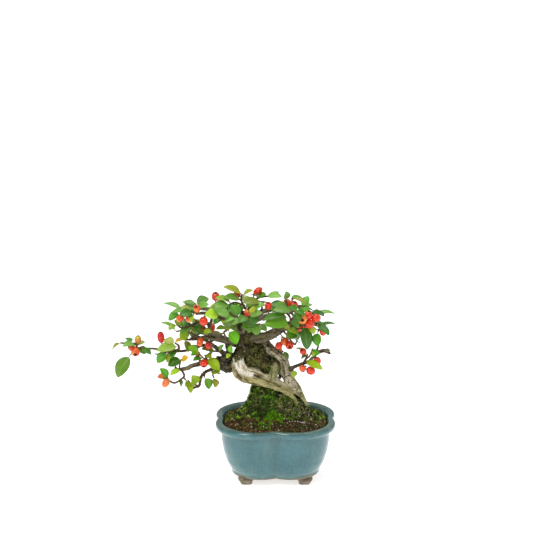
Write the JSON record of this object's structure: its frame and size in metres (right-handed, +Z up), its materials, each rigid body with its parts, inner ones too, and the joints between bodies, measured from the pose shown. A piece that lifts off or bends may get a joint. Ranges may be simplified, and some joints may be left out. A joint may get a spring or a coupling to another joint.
{
  "type": "wall cotoneaster bonsai",
  "caption": "Old cotoneaster bonsai with bared pale roots, red berries and small green leaves, standing on a moss mound in a low lobed blue-green glazed pot.",
  "frame": {"origin": "middle of the whole tree's outline seen from above, at the height of the underside of the pot's feet", "axes": "+Z up, +X to the right and +Y to the back as the tree is shown; the long branch points to -X"},
  "size_m": [0.2052, 0.1266, 0.1822],
  "materials": {
    "glaze": "blue-green glaze over stoneware, glossy, paler at the edges, brown unglazed feet",
    "soil": "loose granular potting soil, matt",
    "screen": "black plastic mesh, matt",
    "copper": "copper-coloured anodised wire, satin",
    "moss": "moss over packed soil, matt",
    "bark": "living bark, pale grey and smooth on the roots, dark and rough on the trunk",
    "leaf": "fresh leaf, half gloss above, paler beneath",
    "berry": "ripe berry skin, smooth, half gloss"
  },
  "bodies": {
    "root": {"pot": "glaze", "soil": "soil", "drainage_screen": "screen", "anchor_wire": "copper", "moss_mound": "moss", "wood": "bark", "berries_back_left": "berry", "berries_back_right": "berry", "berries_crown_left_end": "berry", "berries_crown_right": "berry", "berries_crown_right_low": "berry", "berries_crown_top_left": "berry", "berries_far_left": "berry", "berries_left_twig": "berry", "berries_right_cluster": "berry", "berries_right_low": "berry", "berries_right_middle": "berry", "berry_apex": "berry", "berry_back_crown": "berry", "berry_back_high": "berry", "berry_crown_centre": "berry", "berry_crown_front": "berry", "berry_crown_left": "berry", "berry_crown_left_low": "berry", "berry_crown_right_inner": "berry", "berry_crown_top": "berry", "berry_far_left_upright": "berry", "berry_left_branch": "berry", "berry_left_low": "berry", "berry_left_small": "berry", "berry_right_end": "berry", "berry_right_low_end": "berry", "berry_right_low_high": "berry", "spray_back_left": "leaf", "spray_back_right": "leaf", "spray_crown_back": "leaf", "spray_crown_back_left": "leaf", "spray_crown_back_right": "leaf", "spray_crown_centre": "leaf", "spray_crown_front_left": "leaf", "spray_crown_left": "leaf", "spray_crown_left_end": "leaf", "spray_crown_right_front": "leaf", "spray_crown_right_top": "leaf", "spray_crown_top": "leaf", "spray_crown_top_left": "leaf", "spray_far_left_middle": "leaf", "spray_far_left_tip": "leaf", "spray_knob_shoot": "leaf", "spray_left_drop": "leaf", "spray_left_high": "leaf", "spray_left_inner": "leaf", "spray_left_low_end": "leaf", "spray_left_upper": "leaf", "spray_right_end": "leaf", "spray_right_low": "leaf", "spray_right_middle": "leaf", "spray_right_shoot": "leaf", "spray_stem_shoot": "leaf", "spray_trunk_shoot": "leaf"}
  },
  "joints": []
}
